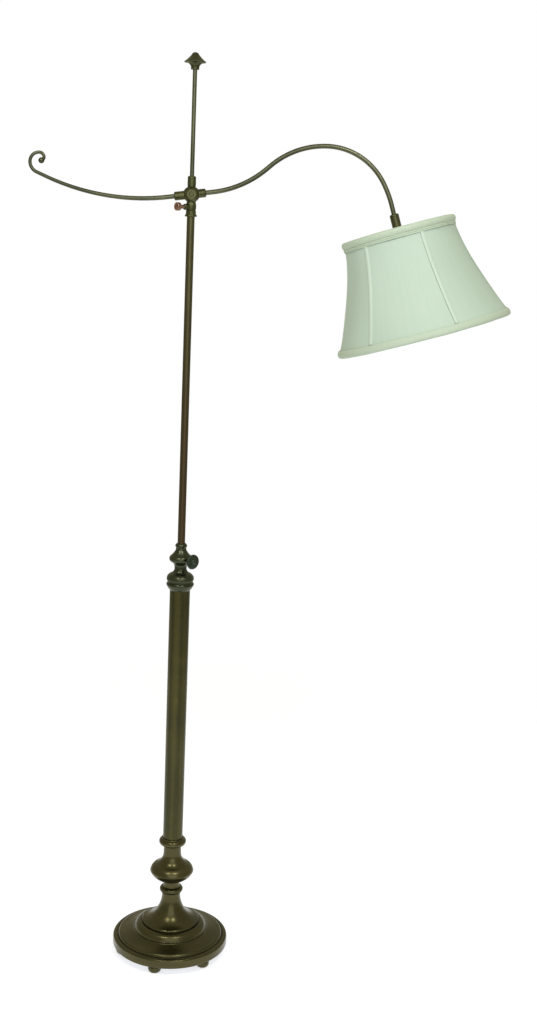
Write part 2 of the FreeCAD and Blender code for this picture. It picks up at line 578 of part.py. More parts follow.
top_ring_r = COVER_LINE[0][1] - COVER_T - RING_R - SEAT_PLAY
bottom_ring_r = COVER_LINE[-1][1] - COVER_T - RING_R - 1.5 * SEAT_PLAY
top_ring = Part.makeTorus(top_ring_r, RING_R, V(0, 0, -SHADE_TOP))
bottom_ring = Part.makeTorus(bottom_ring_r, RING_R, V(0, 0, -SHADE_BOTTOM))
save("top_ring", hung(top_ring))
save("bottom_ring", hung(bottom_ring))

spoke_foot = V(0, -(fitter_out_r - 0.6), -(fitter_at + 0.6))
spoke_top = V(0, -top_ring_r, -SHADE_TOP)
spoke_way = spoke_top - spoke_foot
spoke = Part.makeCylinder(SPOKE_R, spoke_way.Length, spoke_foot, spoke_way)
spoke = spoke.cut(fitter).cut(top_ring)
save("fitter_spokes", *[hung(about_pole(turn, spoke)) for turn in SPOKE_TURNS])
# The spokes pass through slits in the lining and in the trim.
slit = Part.makeCylinder(SPOKE_R + SEAT_PLAY, spoke_way.Length, spoke_foot, spoke_way)
slits = Part.makeCompound([hung(about_pole(turn, slit)) for turn in SPOKE_TURNS])


def rib_curve(inwards):
    """The line of a rib, this far inside the cloth, at the front of the shade."""
    curve = Part.BSplineCurve()
    curve.interpolate([V(0, inwards - r, -down) for down, r in COVER_LINE])
    return curve


def stations(curve):
    """Points spread evenly along a curve."""
    step = (curve.LastParameter - curve.FirstParameter) / SHADE_STATIONS
    return [curve.value(curve.FirstParameter + number * step) for number in range(SHADE_STATIONS + 1)]


def round_the_ribs(shape):
    """A copy of the shape at every rib."""
    return [hung(about_pole(FIRST_RIB_AZ + number * 360 / RIB_COUNT, shape))
            for number in range(RIB_COUNT)]


rib_line = rib_curve(COVER_T + RIB_R * 1.1)
rib_start = rib_line.value(rib_line.FirstParameter)
rib_way = rib_line.tangent(rib_line.FirstParameter)[0]
rib_circle = Part.Wire(Part.makeCircle(RIB_R, rib_start, rib_way))
rib = Part.Wire(rib_line.toShape()).makePipeShell([rib_circle], True, False)
rib = rib.cut(top_ring).cut(bottom_ring)
save("shade_ribs", *round_the_ribs(rib))

# ---------------------------------------------------------------- cloth and trims


def panelled(inwards):
    """The space inside the stretched panels: at each station, arcs that are flatter than the
    circle through the ribs, most so at half height."""
    rings = []
    for station in stations(rib_curve(inwards)):
        down = -station.z
        r = -station.y
        part_way = (down - SHADE_TOP) / (SHADE_BOTTOM - SHADE_TOP)
        middle_r = r - PANEL_SAG * sin(pi * part_way)
        arcs = []
        for number in range(RIB_COUNT):
            points = []
            for half_step, radius in ((0, r), (0.5, middle_r), (1, r)):
                turn = radians(FIRST_RIB_AZ + (number + half_step) * 360 / RIB_COUNT)
                points.append(V(radius * sin(turn), -radius * cos(turn), -down))
            arcs.append(Part.Arc(*points).toShape())
        rings.append(Part.Wire(arcs))
    return Part.makeLoft(rings, True, False)


save("shade_cover", hung(panelled(0).cut(panelled(COVER_T))))
save("shade_lining", hung(panelled(LINING_IN).cut(panelled(LINING_IN + 0.5))).cut(slits))

ribbon_t = 0.9
ribbon_half_w = 4.5
ribbon_lift = 0.25
inner_edge = rib_curve(-ribbon_lift).toShape()
outer_edge = rib_curve(-ribbon_lift - ribbon_t).toShape()
ends = [Part.makeLine(inner_edge.Vertexes[end].Point, outer_edge.Vertexes[end].Point)
        for end in (0, -1)]
ribbon_side = Part.Face(Part.Wire(Part.__sortEdges__([inner_edge, outer_edge] + ends)))
ribbon = ribbon_side.extrude(V(2 * ribbon_half_w, 0, 0))
ribbon.translate(V(-ribbon_half_w, 0, 0))
top_edge_down, top_edge_r = COVER_LINE[0]
bottom_edge_down, bottom_edge_r = COVER_LINE[-1]
ribbon_down = top_edge_down + 17.5
ribbon_end_down = bottom_edge_down - 11.4
between_trims = Part.makeBox(
    4 * ribbon_half_w, 2 * bottom_edge_r, ribbon_end_down - ribbon_down,
    V(-2 * ribbon_half_w, -2 * bottom_edge_r, -ribbon_end_down))
save("seam_trims", *round_the_ribs(ribbon.common(between_trims)))


def trim(edge_r, edge_down, *outline):
    """A folded trim round the shade, its outline measured outwards and down from the cloth's edge."""
    def placed(r, down):
        return (edge_r + r, edge_down + down)
    steps = [tuple(placed(*point) for point in step) if isinstance(step[0], tuple)
             else placed(*step) for step in outline]
    return hung(hung_turned(*steps))


save("top_trim", trim(
    top_edge_r, top_edge_down,
    (-6.1, 9.5), (-6.1, -0.5), ((-2.4, -3.3), (2.5, -2.1)), ((5.2, 4.3), (2.9, 11.5)),
    (1.8, 12.3), (2.1, 16.9), (1.2, 17.4), (0.1, 0.0), (0.1, -1.8), (-5.6, -1.8),
    (-5.6, 9.5)).cut(slits))
save("bottom_trim", trim(
    bottom_edge_r, bottom_edge_down,
    (-3.8, -10.4), (-2.8, -11.0), ((0.9, -7.8), (2.2, -2.4)), ((1.2, 3.4), (-2.4, 4.8)),
    ((-5.0, 3.8), (-5.9, 0.8)), (-9.9, -7.4), (-9.4, -7.6), (-5.4, 0.4), (-5.4, 1.8),
    (0.4, 1.8), (0.4, 0.1)))
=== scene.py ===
# %% [markdown]
# # A bridge floor lamp, dressed
#
# A bridge lamp stands on a heavy round base. Its pole slides in a column, and a bent arm carries a
# cloth shade out to one side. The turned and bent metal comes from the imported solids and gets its
# patina here. The cloth of the shade, its ribbons, trims and stitches, and the thread of the bulb's
# cap are modelled here, because a solid can only give cloth a smooth skin.
#
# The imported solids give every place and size, in metres, and none of them is moved.

# %% Load the lamp
from math import cos, exp, floor, hypot, pi, radians, sin, sqrt
import bpy
from mathutils import Matrix, Vector


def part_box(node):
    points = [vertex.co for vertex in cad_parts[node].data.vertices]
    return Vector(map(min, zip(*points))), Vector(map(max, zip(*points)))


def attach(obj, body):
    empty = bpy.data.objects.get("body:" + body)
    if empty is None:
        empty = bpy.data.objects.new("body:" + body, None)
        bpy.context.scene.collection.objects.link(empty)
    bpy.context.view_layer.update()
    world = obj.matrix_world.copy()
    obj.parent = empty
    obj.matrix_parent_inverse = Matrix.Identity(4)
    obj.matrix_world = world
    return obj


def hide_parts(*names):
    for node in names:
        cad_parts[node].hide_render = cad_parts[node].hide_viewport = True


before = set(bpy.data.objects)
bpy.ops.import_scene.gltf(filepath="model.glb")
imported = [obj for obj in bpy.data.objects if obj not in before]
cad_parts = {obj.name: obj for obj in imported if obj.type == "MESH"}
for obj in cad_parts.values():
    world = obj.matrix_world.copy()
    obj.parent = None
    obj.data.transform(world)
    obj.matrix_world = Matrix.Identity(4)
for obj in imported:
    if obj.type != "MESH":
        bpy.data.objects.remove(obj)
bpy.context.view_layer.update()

MM = 0.001


def middle_of(node):
    """The middle of a node's box."""
    low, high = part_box(node)
    return (low + high) / 2


POLE = middle_of("column_tube")
print("solids", len(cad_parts), "pole at", round(POLE.x, 4), round(POLE.y, 4))

# %% [markdown]
# ## The shade's own axes
#
# On the real lamp the shade is built round the lamp holder, which hangs from the gooseneck. It leans
# towards its outer side and is turned a little forwards about the arm. Every point of it could be
# worked out straight in the lamp's axes, but each sum would then carry two turns. It is easier to
# draw the shade upright about its own axis, with its zero at the top ring, and to turn the finished
# mesh. The two wire rings give the place of that axis, and the lamp's drawing gives its angles.

# %% The shade's axes
SHADE_LEAN = radians(17.0)
ARM_RISE = radians(8.5)
SHADE_TURN = radians(-4.0)
SHADE_TOP = middle_of("top_ring")
SHADE_LENGTH = (middle_of("bottom_ring") - SHADE_TOP).length

arm_way = Vector((cos(ARM_RISE), 0, sin(ARM_RISE)))
SHADE_AXES = (Matrix.Translation(SHADE_TOP)
              @ Matrix.Rotation(SHADE_TURN, 4, arm_way)
              @ Matrix.Rotation(-SHADE_LEAN, 4, "Y"))
print("shade is", round(SHADE_LENGTH, 4), "m long, its foot at",
      [round(c, 4) for c in SHADE_AXES @ Vector((0, 0, -SHADE_LENGTH))])


def on_shade(turn, radius, down):
    """A point of the shade: turn in degrees from the front towards the arm's outer side, radius
    and distance down the axis in millimetres."""
    angle = radians(turn)
    return Vector((radius * sin(angle), -radius * cos(angle), -down)) * MM


# %% [markdown]
# ## The curve over a rib
#
# Over each bent wire rib the cloth flares like a bell. It is nearly straight under the top ring and
# spreads ever faster towards the bottom. A Bezier curve could be drawn for it by hand, but then the
# radius at any height would have to be searched for. A smooth function through a few measured
# stations gives that radius at once, and everything that lies on the cloth can use it.

# %% The bell
# (distance below the top ring, radius over a rib), in millimetres
BELL = ((0.0, 114.0), (24.5, 115.6), (49.8, 120.2), (80.5, 128.0), (104.9, 135.7),
        (146.5, 150.6), (187.5, 166.4), (217.5, 179.6))
BELL_END, BELL_END_R = BELL[-1]


def bell_radius(down):
    """The cloth's radius over a rib: a smooth curve through the stations of the bell."""
    spans = range(len(BELL) - 1)
    slopes = [(BELL[i + 1][1] - BELL[i][1]) / (BELL[i + 1][0] - BELL[i][0]) for i in spans]
    at_stations = [slopes[0]] + [(a + b) / 2 for a, b in zip(slopes, slopes[1:])] + [slopes[-1]]
    span = max((i for i in spans if BELL[i][0] <= down), default=0)
    (above, radius_above), (below, radius_below) = BELL[span], BELL[span + 1]
    width = below - above
    t = (down - above) / width
    return (radius_above * (1 + 2 * t) * (1 - t) ** 2 + at_stations[span] * width * t * (1 - t) ** 2
            + radius_below * t * t * (3 - 2 * t) - at_stations[span + 1] * width * t * t * (1 - t))


print("rib radius", bell_radius(0), "to", round(bell_radius(BELL_END), 1), "mm")

# %% [markdown]
# ## The cloth between two ribs
#
# Tight cloth can't bulge outwards between two ribs: it is pulled in towards the straight line that
# joins them. So a section of the shade is a hexagon with rounded sides. A cloth simulation would
# find this form too, but slowly and with no sure result. An arc through the two ribs and through a
# middle point that lies nearer to the axis gives the same form exactly.

# %% The panels
RIB_COUNT = 6
FIRST_RIB = 14.0
HALF_PANEL = 180 / RIB_COUNT
PANEL_SAG = 5.0
NO_SAG = 0.01


def from_middle(turn):
    """How many degrees a direction lies from the middle of its panel."""
    return (turn - FIRST_RIB) % (2 * HALF_PANEL) - HALF_PANEL


def cloth_radius(turn, down, inwards=0.0):
    """The radius of the stretched cloth in any direction. The sag is largest at half height."""
    rib_r = bell_radius(down) - inwards
    middle_r = rib_r - PANEL_SAG * sin(pi * min(max(down / BELL_END, 0), 1))
    off = radians(from_middle(turn))
    if rib_r - middle_r < NO_SAG:
        return rib_r
    centre = (rib_r ** 2 - middle_r ** 2) / (2 * (rib_r * cos(radians(HALF_PANEL)) - middle_r))
    reach = middle_r - centre
    return centre * cos(off) + sqrt(reach ** 2 - (centre * sin(off)) ** 2)


narrowest = cloth_radius(FIRST_RIB + HALF_PANEL, BELL_END / 2)
print("between ribs at half height", round(narrowest, 1), "mm")

# %% [markdown]
# ## Uneven tension
#
# Hand-stretched cloth is never quite even. It has soft pulls beside the ribs, and fine gathers that
# die out below the top trim and above the bottom one. A bump in the material could paint them, but
# only real displacement changes the way light runs over satin. A few sine waves, each a fraction of
# a millimetre high, are enough, and they come out the same in every run.

# %% Pulls and gathers
# Heights are in millimetres, waves are counted in one turn and phases are in radians.
PULL = 0.16
PULL_FADE = 6.0          # degrees away from the rib
PULL_FLAT = 2.5          # degrees beside the rib in which the pull sets in
PULL_PITCH = 0.11        # radians for each millimetre down the shade
PULL_SHIFT = 1.7         # radians from one rib to the next
GATHER = 0.16
GATHERS = ((0.5, 97, 0.0), (0.3, 151, 0.9), (0.2, 61, 2.1))     # share, waves, phase
GATHER_FADE_TOP = 14.0   # millimetres down from the top trim
GATHER_FADE_FOOT = 16.0  # millimetres up from the bottom trim
SLACK = ((0.10, 7, 0.021, 0.0), (0.07, 11, -0.034, 1.0))        # height, waves, drift, phase


def ripple(turn, down):
    """How far the cloth stands out from its even form, in millimetres."""
    from_rib = HALF_PANEL - abs(from_middle(turn))
    rib = floor((turn - FIRST_RIB) / (2 * HALF_PANEL))
    wave = sin(down * PULL_PITCH + PULL_SHIFT * rib)
    pull = PULL * exp(-from_rib / PULL_FADE) * wave * min(from_rib / PULL_FLAT, 1)
    angle = radians(turn)
    gather = sum(share * sin(waves * angle + phase) for share, waves, phase in GATHERS)
    near_trims = exp(-down / GATHER_FADE_TOP) + exp(-(BELL_END - down) / GATHER_FADE_FOOT)
    slack = sum(height * sin(waves * angle + down * drift + phase)
                for height, waves, drift, phase in SLACK)
    return pull + GATHER * gather * near_trims + slack


largest = max(abs(ripple(turn, BELL_END / 2)) for turn in range(360))
print("largest ripple at half height", round(largest, 2), "mm")

# %% [markdown]
# ## Sewing a closed ring
#
# A cover, a lining and a trim are all closed rings of cloth. Each could be a curve swept round the
# axis, but the section changes as it goes round, with the panels and the gathers. So a ring is built
# from its sections: a closed loop of points at each turn, joined to the next loop. The mesh then has
# no open edge. Its UV map runs in metres along the cloth, which is what the weave is scaled by.


# %% From a mesh to a piece of the lamp
def volume(mesh):
    """The signed volume of a closed mesh; negative when its faces look inwards."""
    total = 0.0
    for face in mesh.polygons:
        corners = [mesh.vertices[v].co for v in face.vertices]
        for second, third in zip(corners[1:], corners[2:]):
            total += corners[0].dot(second.cross(third)) / 6
    return total


def hang_on_arm(mesh, name, material):
    """Turns a mesh from the shade's axes into the lamp's, smooths it and lets it ride on the arms."""
    mesh.transform(SHADE_AXES)
    mesh.update()
    if volume(mesh) < 0:
        mesh.flip_normals()
    mesh.shade_smooth()
    mesh.materials.clear()
    mesh.materials.append(material)
    piece = bpy.data.objects.new(name, mesh)
    bpy.context.scene.collection.objects.link(piece)
    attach(piece, "arms")
    return piece


# %% Rings of cloth
def sewn_ring(name, section_at, columns, material):
    """A closed ring from a function that gives the section's points (radius, down) at any turn."""
    section = section_at(0.0)
    rows = len(section)
    points, faces = [], []
    for column in range(columns):
        turn = 360 * column / columns
        points += [on_shade(turn, radius, down) for radius, down in section_at(turn)]
    for column in range(columns):
        here, there = column * rows, (column + 1) % columns * rows
        for row in range(rows):
            after = (row + 1) % rows
            faces.append((here + row, here + after, there + after, there + row))
    mesh = bpy.data.meshes.new(name)
    mesh.from_pydata(points, [], faces)
    run = [0.0]
    for (radius, down), (next_radius, next_down) in zip(section, section[1:] + section[:1]):
        run.append(run[-1] + hypot(next_radius - radius, next_down - down) * MM)
    around = 2 * pi * max(radius for radius, _ in section) * MM
    uv = mesh.uv_layers.new(name="cloth")
    for index in range(len(faces)):
        column, row = divmod(index, rows)
        corners = ((column, row), (column, row + 1), (column + 1, row + 1), (column + 1, row))
        for corner, (c, r) in enumerate(corners):
            uv.data[4 * index + corner].uv = (c / columns * around, run[r])
    return hang_on_arm(mesh, name, material)


# %% [markdown]
# ## Tools for node trees
#
# A material's pattern is a formula, and so is a tree of geometry nodes. Each could be linked node by
# node, which is long to write and hard to read. Here one function adds any node, and a small class
# wraps an output so that arithmetic on it adds the Math nodes. A pattern then reads as what it is.


# %% Arithmetic on wires
class Wire:
    """One output in a node tree. Arithmetic on wires and numbers adds Math nodes."""

    def __init__(self, tree, socket):
        self.tree = tree
        self.socket = socket

    def beside(self, out):
        """Another output of the same node."""
        return Wire(self.tree, self.socket.node.outputs[out])

    def math(self, operation, first, second=0.0):
        return add_node(self.tree, "ShaderNodeMath", {"operation": operation},
                        {0: first, 1: second})

    def __add__(self, other):
        return self.math("ADD", self, other)

    def __radd__(self, other):
        return self.math("ADD", other, self)

    def __sub__(self, other):
        return self.math("SUBTRACT", self, other)

    def __rsub__(self, other):
        return self.math("SUBTRACT", other, self)

    def __mul__(self, other):
        return self.math("MULTIPLY", self, other)

    def __rmul__(self, other):
        return self.math("MULTIPLY", other, self)

    def sine(self):
        return self.math("SINE", self)

    def root(self):
        return self.math("SQRT", self)

    def size(self):
        return self.math("ABSOLUTE", self)

    def clamped(self):
        return self.math("MINIMUM", self.math("MAXIMUM", self, 0.0), 1.0)


# %% Adding a node
def plug(tree, value, socket):
    """Feeds a socket with a wire or with a constant."""
    if isinstance(value, Wire):
        tree.links.new(value.socket, socket)
    else:
        socket.default_value = value


def add_node(tree, kind, settings=None, sockets=None, out=0):
    """Adds any node: its settings first, then its sockets by name or number. Gives one output."""
    made = tree.nodes.new(kind)
    for setting, value in (settings or {}).items():
        setattr(made, setting, value)
    for socket, value in (sockets or {}).items():
        plug(tree, value, made.inputs[socket])
    return Wire(tree, made.outputs[out]) if made.outputs else None


# %% [markdown]
# ## A finish
#
# A finish is one material with a Principled shader in it. What is the same all over a piece is set
# straight on the shader's sockets. What varies comes from noise on Object coordinates, or on the
# cloth's own UV map where a pattern has to follow the weave.


# %% The Finish class
class Finish:
    """One material with a Principled shader. The sockets that stay constant come as keywords."""

    def __init__(self, name, **constants):
        self.material = bpy.data.materials.new(name)
        self.material.use_nodes = True
        self.tree = self.material.node_tree
        self.tree.nodes.clear()
        constants = {socket.replace("_", " "): value for socket, value in constants.items()}
        shader = add_node(self.tree, "ShaderNodeBsdfPrincipled", sockets=constants)
        add_node(self.tree, "ShaderNodeOutputMaterial", sockets={"Surface": shader})
        self.shader = shader.socket.node

    def place(self, which="Object", stretch=(1, 1, 1)):
        """Object or UV coordinates, stretched along each axis."""
        source = add_node(self.tree, "ShaderNodeTexCoord", out=which)
        return add_node(self.tree, "ShaderNodeMapping", sockets={"Vector": source, "Scale": stretch})

    def part(self, vector, axis):
        """One coordinate of a vector."""
        return add_node(self.tree, "ShaderNodeSeparateXYZ", sockets={0: vector}, out=axis)

    def noise(self, scale, detail=4.0, stretch=(1, 1, 1), roughness=0.55, which="Object"):
        return add_node(self.tree, "ShaderNodeTexNoise", sockets={
            "Vector": self.place(which, stretch), "Scale": scale, "Detail": detail,
            "Roughness": roughness})

    def blend(self, factor, first, second):
        """A colour between two colours."""
        return add_node(self.tree, "ShaderNodeMix", {"data_type": "RGBA"},
                        {0: factor, 6: first, 7: second}, out=2)

    def steps(self, value, low, high):
        """0 below low, 1 above high, and smooth between."""
        return add_node(self.tree, "ShaderNodeMapRange", {"interpolation_type": "SMOOTHSTEP"},
                        {0: value, 1: low, 2: high})

    def wear(self, **values):
        """Feeds the shader's sockets with what varies."""
        for socket, value in values.items():
            plug(self.tree, value, self.shader.inputs[socket.replace("_", " ")])

    def bump(self, height, distance, strength):
        """A relief as deep as distance, in metres."""
        relief = add_node(self.tree, "ShaderNodeBump", sockets={
            "Height": height, "Distance": distance, "Strength": strength})
        self.wear(Normal=relief)


# %% Colours
def rgb(red, green, blue):
    """A colour as it is seen, 0 to 255, in the linear light that shaders work in."""
    def linear(value):
        part = value / 255
        return part / 12.92 if part <= 0.04045 else ((part + 0.055) / 1.055) ** 2.4
    return (linear(red), linear(green), linear(blue), 1.0)


# %% [markdown]
# ## Patinated brass
#
# The lamp is brass under a dark chemical patina, waxed and a little rubbed. A single dark colour
# would look like paint. On the real metal the patina is clouded on a scale of centimetres, mottled
# on a scale of millimetres, and drawn out in fine brushed lines: along a tube, or round a turned
# piece. Where it is thin, the warmer metal shows. Three noises of those sizes, one of them stretched
# along the brushing, give all of this, and their weights differ from piece to piece.


# %% The patina
def patina(name, dark, light, worn, streaks, shine, drawn=0.3, foot=None):
    """Patinated brass. streaks stretches the brushed lines and drawn is their share; shine is the
    mean roughness; foot is a darker colour low on a tube, with the heights where it fades out."""
    finish = Finish(name, Metallic=0.94, Coat_Weight=0.10, Coat_Roughness=0.30, Coat_IOR=1.4)
    clouds = finish.noise(7.0, detail=3.0)
    mottle = finish.noise(120.0, detail=4.0, roughness=0.6)
    lines = finish.noise(1.0, detail=3.0, stretch=streaks, roughness=0.5)
    depth = ((0.92 - drawn) * clouds + 0.12 * mottle + drawn * lines - 0.02).clamped()
    colour = finish.blend(finish.steps(depth, 0.34, 0.72), dark, light)
    if foot:
        foot_colour, low, high = foot
        height = finish.part(finish.place(), "Z")
        colour = finish.blend(finish.steps(height + 0.12 * (clouds - 0.5), low, high),
                              foot_colour, colour)
    rubbed = finish.steps(0.6 * clouds + 0.4 * finish.noise(30.0, detail=5.0), 0.56, 0.74)
    finish.wear(Base_Color=finish.blend(rubbed * 0.4, colour, worn),
                Roughness=shine - 0.05 * rubbed + 0.08 * (mottle - 0.5) + 0.05 * (lines - 0.5))
    finish.bump(0.6 * mottle + 0.4 * lines, distance=0.04 * MM, strength=0.25)
    return finish.material


# %% The lamp's bronzes
ALONG_COLUMN = (130, 130, 1.0)
ALONG_POLE = (90, 90, 1.5)
ALONG_ARMS = (16, 16, 4)
ROUND_TURNINGS = (10, 10, 120)

column_bronze = patina("column_bronze", rgb(60, 59, 36), rgb(88, 84, 50), rgb(112, 102, 60),
                       ALONG_COLUMN, 0.36, drawn=0.5)
turned_bronze = patina("turned_bronze", rgb(72, 69, 44), rgb(94, 88, 57), rgb(120, 104, 70),
                       ROUND_TURNINGS, 0.28)
collar_bronze = patina("collar_bronze", rgb(56, 61, 46), rgb(78, 81, 61), rgb(112, 112, 88),
                       ROUND_TURNINGS, 0.28)
arm_bronze = patina("arm_bronze", rgb(76, 78, 60), rgb(106, 108, 85), rgb(128, 118, 96),
                    ALONG_ARMS, 0.36)
pole_bronze = patina("pole_bronze", rgb(80, 76, 52), rgb(102, 98, 70), rgb(120, 98, 72),
                     ALONG_POLE, 0.38, foot=(rgb(80, 68, 48), 1.05, 1.6))
head_bronze = patina("head_bronze", rgb(62, 65, 42), rgb(90, 91, 60), rgb(132, 128, 88),
                     (40, 40, 60), 0.33)
knob_bronze = patina("knob_bronze", rgb(46, 58, 48), rgb(76, 88, 74), rgb(120, 130, 108),
                     (70, 70, 70), 0.34)
screw_copper = patina("screw_copper", rgb(128, 98, 84), rgb(172, 138, 122), rgb(196, 164, 148),
                      (60, 60, 60), 0.32)
print("bronzes", [material.name for material in bpy.data.materials if "bronze" in material.name])

# %% [markdown]
# ## Plated metal and cast iron
#
# The wires of the shade, the screws and the rod inside are zinc plated, and the lamp holder is
# bright brass. Plating has almost no colour of its own, so what tells it from plastic is a fine
# uneven roughness. The iron weight is as it came from the sand: dark, rough and lumpy.


# %% Plain metals
def plain_metal(name, colour, shade, shine):
    """Plated or bare metal with a faint grain."""
    finish = Finish(name, Metallic=1.0)
    fine = finish.noise(400.0, detail=3.0)
    broad = finish.noise(18.0, detail=3.0)
    finish.wear(Base_Color=finish.blend(broad, colour, shade),
                Roughness=shine + 0.16 * (fine - 0.5) + 0.10 * (broad - 0.5))
    finish.bump(fine, distance=0.08 * MM, strength=0.4)
    return finish.material


def sand_cast(name, colour, shade):
    """Raw cast iron."""
    finish = Finish(name, Metallic=0.7)
    lumps = finish.noise(220.0, detail=6.0, roughness=0.7)
    finish.wear(Base_Color=finish.blend(lumps, colour, shade), Roughness=0.55 + 0.3 * lumps)
    finish.bump(lumps, distance=0.6 * MM, strength=0.8)
    return finish.material


zinc = plain_metal("zinc_plate", rgb(176, 176, 172), rgb(150, 150, 148), 0.36)
socket_brass = plain_metal("socket_brass", rgb(206, 172, 96), rgb(176, 142, 72), 0.22)
lamp_cap_metal = plain_metal("lamp_cap_metal", rgb(204, 204, 202), rgb(178, 178, 178), 0.25)
cast_iron = sand_cast("cast_iron", rgb(44, 44, 44), rgb(70, 68, 66))
print("plain metals", [metal.name for metal in (zinc, socket_brass, lamp_cap_metal, cast_iron)])

# %% [markdown]
# ## Plastic, rubber and frosted glass
#
# Bushes are nylon, the inside of the lamp holder is black phenolic, and the cord's bushing is
# rubber. Moulded parts have a faint orange peel, which is a shallow bump. The bulb is frosted: its
# glass lets some light through and scatters the rest, so it has some transmission and a rough skin.


# %% Moulded pieces and the bulb
def moulded(name, colour, shade, shine):
    """Moulded plastic or rubber."""
    finish = Finish(name)
    peel = finish.noise(520.0, detail=2.0)
    broad = finish.noise(24.0, detail=2.0)
    finish.wear(Base_Color=finish.blend(broad, colour, shade), Roughness=shine + 0.1 * (peel - 0.5))
    finish.bump(peel, distance=0.05 * MM, strength=0.4)
    return finish.material


def frosted(name, colour, shade):
    """Glass etched on its inside."""
    finish = Finish(name, Transmission_Weight=0.35, IOR=1.5)
    frost = finish.noise(900.0, detail=2.0)
    finish.wear(Base_Color=finish.blend(frost, colour, shade), Roughness=0.34 + 0.12 * frost)
    finish.bump(frost, distance=0.04 * MM, strength=0.3)
    return finish.material


nylon = moulded("nylon", rgb(222, 218, 204), rgb(208, 203, 186), 0.48)
black_phenolic = moulded("black_phenolic", rgb(26, 25, 24), rgb(38, 36, 34), 0.22)
soft_rubber = moulded("soft_rubber", rgb(30, 30, 30), rgb(42, 42, 42), 0.66)
frosted_glass = frosted("frosted_glass", rgb(250, 250, 246), rgb(238, 240, 236))
print("moulded", [stuff.name for stuff in (nylon, black_phenolic, soft_rubber, frosted_glass)])

# %% [markdown]
# ## Cloth
#
# The cover is a fine satin weave: threads a third of a millimetre apart, with slubs that run a few
# centimetres along them, and faint streaks down its fall, which are partly uneven tone and partly
# painted sheen. A photograph of cloth would show this too, but it would blur close up and repeat. Two
# crossed sine waves on the UV map are the threads, and noises stretched along each thread are the
# slubs. The trims are the same cloth cut on the bias, so their weave runs slantwise. A ribbon has a
# painted shadow: a darker line along its left edge, where the raised edge would shade the cloth.


# %% The weave
def woven(name, colour, shade, thread, slant=0.0, sheen=0.2, thin=0.0, shadow_line=None):
    """A plain weave, thread being the spacing in metres. The last argument, for a ribbon, is a
    painted
    shadow along one side of it: a darker colour, and how far that line lies from the ribbon's middle."""
    finish = Finish(name, Sheen_Weight=sheen, Sheen_Roughness=0.4, Subsurface_Weight=thin,
                    Subsurface_Radius=(0.004, 0.004, 0.003))
    place = finish.place("UV")
    across, along = finish.part(place, "X"), finish.part(place, "Y")
    pitch = 2 * pi / thread
    warp = ((across + slant * along) * pitch).sine()
    weft = ((along - slant * across) * pitch).sine()
    weave = warp * weft * 0.25 + 0.5
    slub = finish.noise(1.0, detail=3.0, stretch=(1400, 30, 1), which="UV")
    cross_slub = finish.noise(1.0, detail=3.0, stretch=(24, 1500, 1), which="UV")
    soft = finish.noise(14.0, detail=3.0)
    # Streaks down the fall of the cloth: partly uneven tone of the weave, partly painted sheen bands.
    streaks_and_sheen = finish.noise(1.0, detail=4.0, stretch=(170, 2.5, 1), which="UV")
    tone = (0.14 * weave + 0.22 * slub + 0.20 * cross_slub + 0.25 * soft
            + 0.75 * (streaks_and_sheen - 0.5) + 0.12).clamped()
    cloth = finish.blend(tone, colour, shade)
    # A painted shadow: a darker line along one side of a ribbon, where its raised edge would shade
    # the cloth.
    if shadow_line:
        shadow_colour, shadow_at = shadow_line
        from_shadow = (across + shadow_at).size()
        cloth = finish.blend(finish.steps(from_shadow, 0.3 * MM, 1.1 * MM), shadow_colour, cloth)
    finish.wear(Base_Color=cloth, Roughness=0.62 + 0.12 * (slub - 0.5))
    finish.bump(0.5 * weave + 0.3 * slub + 0.2 * cross_slub, distance=0.1 * MM, strength=0.5)
    return finish.material


# %% The lamp's cloths and thread
mint_satin = woven("mint_satin", rgb(191, 210, 198), rgb(179, 200, 186), 0.35 * MM, thin=0.04)
cream_trim = woven("cream_trim", rgb(193, 209, 194), rgb(178, 195, 174), 0.5 * MM, slant=0.8)
# The ribbon's cloth, with a painted shadow along its left edge.
ribbon_cloth = woven("ribbon_cloth", rgb(200, 217, 206), rgb(188, 207, 193), 0.4 * MM,
                     shadow_line=(rgb(146, 167, 149), 4.0 * MM))
lining_cloth = woven("lining_cloth", rgb(242, 242, 234), rgb(230, 231, 222), 0.3 * MM, sheen=0.1)

sewing_thread = Finish("sewing_thread", Sheen_Weight=0.3)
twist = sewing_thread.noise(3000.0, detail=2.0)
sewing_thread.wear(Base_Color=sewing_thread.blend(twist, rgb(226, 236, 212), rgb(196, 210, 180)),
                   Roughness=0.6 + 0.2 * twist)
sewing_thread.bump(twist, distance=0.05 * MM, strength=0.5)
print("materials so far", len(bpy.data.materials))

# %% [markdown]
# ## The cover and the lining
#
# The cover is stretched outside the ribs and the lining inside them, and each is a thin band with
# two faces. A single sheet with a Solidify modifier would do, but its edges at the rings would turn
# with the cloth. A section that runs down the outside and up the inside gives both faces and closes
# the edges where the trims hide them.

# %% The two bands
COVER_T = 0.6
LINING_IN = 4.4
LINING_T = 0.5
BAND_ROWS = 64
PANEL_COLUMNS = 44


def cloth_band(inwards, thickness, rippled):
    """A function that gives the band's section at any turn."""
    def section(turn):
        downs = [BELL_END * row / BAND_ROWS for row in range(BAND_ROWS + 1)]
        outside, inside = [], []
        for down in downs:
            radius = cloth_radius(turn, down, inwards) + rippled * ripple(turn, down)
            outside.append((radius, down))
            inside.append((radius - thickness, down))
        return outside + inside[::-1]
    return section


cover_band = cloth_band(inwards=0.0, thickness=COVER_T, rippled=1.0)
lining_band = cloth_band(inwards=LINING_IN, thickness=LINING_T, rippled=0.6)
columns = RIB_COUNT * PANEL_COLUMNS
cover = sewn_ring("shade_cover_cloth", cover_band, columns, mint_satin)
lining = sewn_ring("shade_lining_cloth", lining_band, columns, lining_cloth)
for piece, node, slot in ((cover, "shade_cover", "shade_fabric"),
                          (lining, "shade_lining", "lining_fabric")):
    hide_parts(node)
    print(piece.name, len(piece.data.polygons), "faces")

